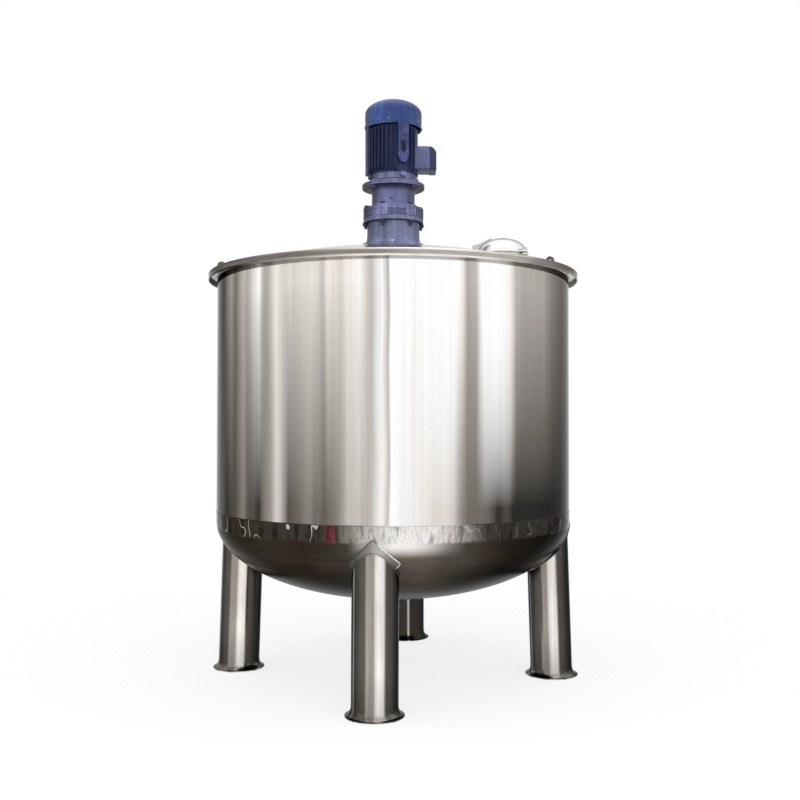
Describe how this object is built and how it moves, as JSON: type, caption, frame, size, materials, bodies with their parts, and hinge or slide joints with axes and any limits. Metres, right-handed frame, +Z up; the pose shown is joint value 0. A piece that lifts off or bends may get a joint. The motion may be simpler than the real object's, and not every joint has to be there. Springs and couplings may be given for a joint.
{
  "type": "mixing tank",
  "caption": "Round steel mixing tank with dished bottom and crowned lid on pipe legs, geared motor upright on the lid, hinged manhole cover, agitator inside.",
  "frame": {"origin": "on the floor, under the middle of the tank", "axes": "+Z up, -Y towards the picture's camera, +X to its right, where the manhole is"},
  "size_m": [1.26, 1.26, 1.9683],
  "materials": {
    "polished_steel": "mirror-polished stainless steel",
    "satin_steel": "satin-polished stainless steel",
    "gear_paint": "grey-blue machine enamel",
    "motor_paint": "deep blue machine enamel",
    "black_plastic": "black moulded plastic",
    "gasket_rubber": "white silicone rubber"
  },
  "bodies": {
    "tank": {"shell_plate_1": "polished_steel", "shell_plate_2": "polished_steel", "shell_plate_3": "polished_steel", "shell_plate_4": "polished_steel", "shell_plate_5": "polished_steel", "shell_plate_6": "polished_steel", "bottom_head": "satin_steel", "bottom_outlet": "satin_steel", "shell_flange": "polished_steel", "lid_rim": "polished_steel", "lid_crown": "polished_steel", "leg_front": "satin_steel", "leg_right": "satin_steel", "leg_back": "satin_steel", "leg_left": "satin_steel", "leg_pad_front": "satin_steel", "leg_pad_right": "satin_steel", "leg_pad_back": "satin_steel", "leg_pad_left": "satin_steel", "lifting_lug_1": "satin_steel", "lifting_lug_2": "satin_steel", "lifting_lug_3": "satin_steel", "manhole_neck": "satin_steel", "manhole_gasket": "gasket_rubber", "manhole_hinge_pin": "satin_steel", "drive_seat": "polished_steel", "gearbox_base": "gear_paint", "gearbox_pin_ring": "gear_paint", "gearbox_input_housing": "gear_paint", "motor_flange": "gear_paint", "motor_body": "motor_paint", "motor_side_plate": "motor_paint", "terminal_box": "motor_paint", "terminal_box_cover": "motor_paint", "cable_gland": "black_plastic", "fan_cowl": "motor_paint", "cooling_fan": "black_plastic", "agitator_shaft": "satin_steel", "shaft_coupling": "satin_steel", "impeller": "satin_steel"},
    "cover": {"manhole_cover": "polished_steel", "manhole_hinge_strap": "satin_steel", "hand_screw_1": "satin_steel", "hand_screw_2": "satin_steel"}
  },
  "joints": [
    {"name": "manhole_hinge", "type": "hinge", "parent": "tank", "child": "cover", "pos_m": [0.272, 0, 1.4373], "axis": [0, -1, 0], "range_deg": [0, 105]}
  ]
}
